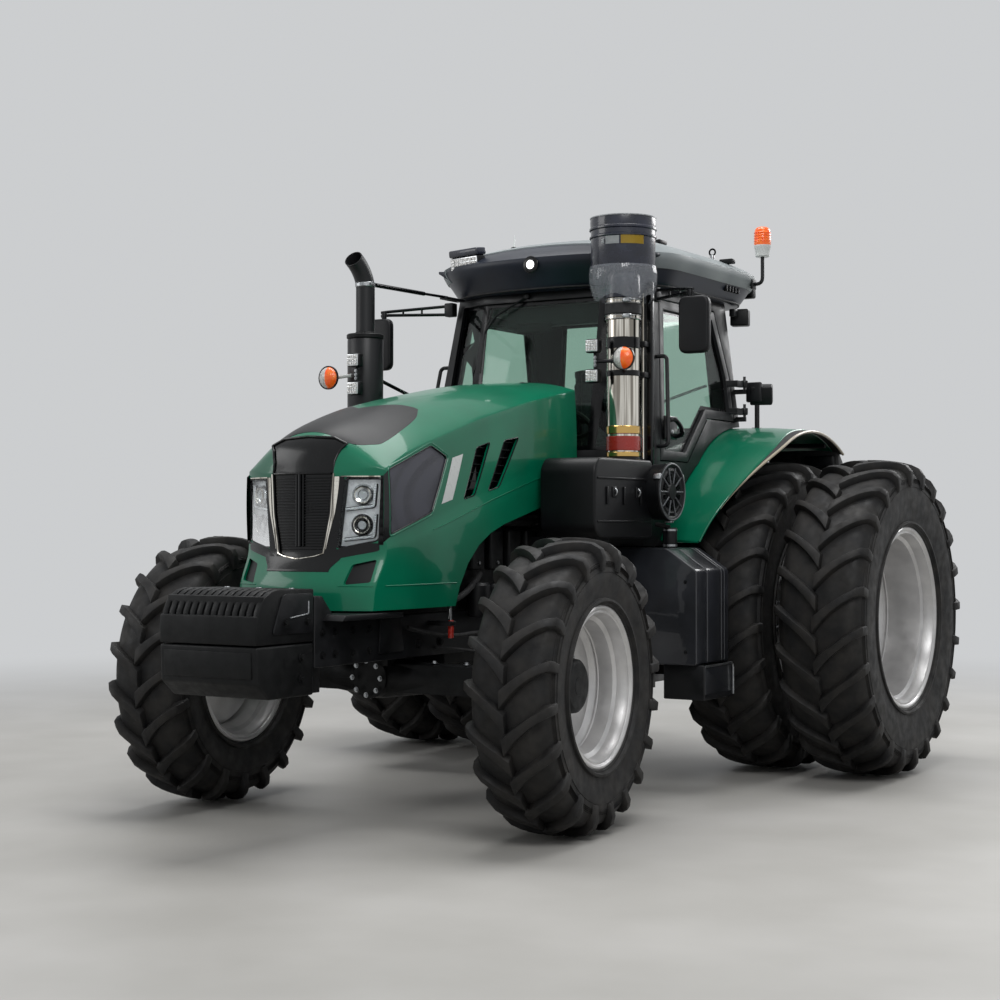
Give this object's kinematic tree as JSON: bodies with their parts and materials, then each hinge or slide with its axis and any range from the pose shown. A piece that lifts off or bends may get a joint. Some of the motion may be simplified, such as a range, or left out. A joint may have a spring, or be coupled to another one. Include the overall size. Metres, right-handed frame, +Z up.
{
  "type": "farm tractor",
  "caption": "Four-wheel-drive farm tractor with twin rear wheels, tilting hood, rear-hinged cab doors, steered front axle and a raising rear three-point hitch.",
  "frame": {"origin": "on the ground, midway between the nose of the front weights and the ends of the lower links, on the tractor's middle plane", "axes": "-Y is the driving direction, +X is the tractor's left side, +Z is up"},
  "size_m": [3.828, 5.4559, 3.48],
  "materials": {
    "green_paint": "gloss",
    "black_paint": "satin",
    "cast_black": "satin",
    "steel": "satin",
    "wheel_silver": "satin",
    "tyre": "matte",
    "rubber": "matte",
    "glass": "gloss",
    "chrome": "polished",
    "roof_plastic": "satin",
    "black_plastic": "satin",
    "lamp": "gloss",
    "amber": "gloss",
    "seat_fabric": "matte"
  },
  "bodies": {
    "chassis": {"front_frame": "black_paint", "front_weights": "cast_black", "engine": "cast_black", "transmission": "cast_black", "front_axle": "cast_black", "drawbar": "black_paint", "top_link": "steel", "hood_hinge_post": "black_paint", "cab_frame": "black_paint", "cab_windows": "glass", "cab_roof": "roof_plastic", "seat_base": "black_paint", "seat_cushion": "seat_fabric", "seat_back": "seat_fabric", "steering_column": "black_plastic", "fender_left": "green_paint", "fender_right": "green_paint", "fuel_tank": "black_plastic", "battery_box": "black_plastic", "steps": "black_paint", "air_box": "black_plastic", "intake_pipe": "chrome", "precleaner": "black_plastic", "exhaust": "black_paint", "mirrors": "black_plastic", "handrails": "black_paint", "roof_lamps": "lamp", "beacon": "amber", "stack_lamps": "lamp", "cab_mounts": "rubber"},
    "hood": {"hood_shell": "green_paint", "grille": "black_plastic", "headlamps": "lamp", "side_screens": "black_paint"},
    "door_left": {"door_left": "black_paint", "door_glass_left": "glass"},
    "door_right": {"door_right": "black_paint", "door_glass_right": "glass"},
    "knuckle_left": {"knuckle_left": "cast_black"},
    "knuckle_right": {"knuckle_right": "cast_black"},
    "tie_rod": {"tie_rod": "steel"},
    "front_wheel_left": {"front_tyre_left": "tyre", "front_rim_left": "wheel_silver", "front_hub_left": "black_paint"},
    "front_wheel_right": {"front_tyre_right": "tyre", "front_rim_right": "wheel_silver", "front_hub_right": "black_paint"},
    "rear_wheels_left": {"rear_tyres_left": "tyre", "rear_rims_left": "wheel_silver", "rear_hub_left": "wheel_silver"},
    "rear_wheels_right": {"rear_tyres_right": "tyre", "rear_rims_right": "wheel_silver", "rear_hub_right": "wheel_silver"},
    "lift_arms": {"lift_arms": "black_paint"},
    "lift_rods": {"lift_rods": "black_paint"},
    "lower_links": {"lower_links": "black_paint"}
  },
  "joints": [
    {"name": "steer_left", "type": "hinge", "parent": "chassis", "child": "knuckle_left", "pos_m": [0.84, -1.328, 0.742], "axis": [0, 0, 1], "range_deg": [-35, 25]},
    {"name": "steer_right", "type": "hinge", "parent": "chassis", "child": "knuckle_right", "pos_m": [-0.84, -1.328, 0.742], "axis": [0, 0, 1], "range_deg": [-35, 25]},
    {"name": "tie_rod_pivot", "type": "hinge", "parent": "knuckle_left", "child": "tie_rod", "pos_m": [0.81821, -1.07895, 0.715], "axis": [0, 0, 1], "range_deg": [-25, 35]},
    {"name": "front_wheel_spin_left", "type": "hinge", "parent": "knuckle_left", "child": "front_wheel_left", "pos_m": [1.11894, -1.3036, 0.742], "axis": [0.9962, 0.0872, 0], "continuous": true},
    {"name": "front_wheel_spin_right", "type": "hinge", "parent": "knuckle_right", "child": "front_wheel_right", "pos_m": [-1.11894, -1.3524, 0.742], "axis": [0.9962, 0.0872, 0], "continuous": true},
    {"name": "rear_wheel_spin_left", "type": "hinge", "parent": "chassis", "child": "rear_wheels_left", "pos_m": [1.325, 1.592, 0.975], "axis": [1, 0, 0], "continuous": true},
    {"name": "rear_wheel_spin_right", "type": "hinge", "parent": "chassis", "child": "rear_wheels_right", "pos_m": [-1.325, 1.592, 0.975], "axis": [1, 0, 0], "continuous": true},
    {"name": "hood_tilt", "type": "hinge", "parent": "chassis", "child": "hood", "pos_m": [0, -0.048, 2.35], "axis": [-1, 0, 0], "range_deg": [0, 45]},
    {"name": "door_swing_left", "type": "hinge", "parent": "chassis", "child": "door_left", "pos_m": [0.822, 1.522, 2.325], "axis": [0, 0, 1], "range_deg": [0, 60]},
    {"name": "door_swing_right", "type": "hinge", "parent": "chassis", "child": "door_right", "pos_m": [-0.822, 1.522, 2.325], "axis": [0, 0, -1], "range_deg": [0, 60]},
    {"name": "lift_arm_raise", "type": "hinge", "parent": "chassis", "child": "lift_arms", "pos_m": [0, 1.782, 1.43], "axis": [1, 0, 0], "range_deg": [-18, 32]},
    {"name": "lift_rod_pivot", "type": "hinge", "parent": "lift_arms", "child": "lift_rods", "pos_m": [0, 2.212, 1.43], "axis": [1, 0, 0], "range_deg": [-32, 18]},
    {"name": "lower_link_raise", "type": "hinge", "parent": "chassis", "child": "lower_links", "pos_m": [0, 1.782, 0.59], "axis": [1, 0, 0], "range_deg": [-18, 32]}
  ],
  "couplings": [
    {"joint": "steer_right", "follows": "steer_left", "ratio": 1},
    {"joint": "tie_rod_pivot", "follows": "steer_left", "ratio": -1},
    {"joint": "lift_rod_pivot", "follows": "lift_arm_raise", "ratio": -1},
    {"joint": "lower_link_raise", "follows": "lift_arm_raise", "ratio": 1}
  ]
}
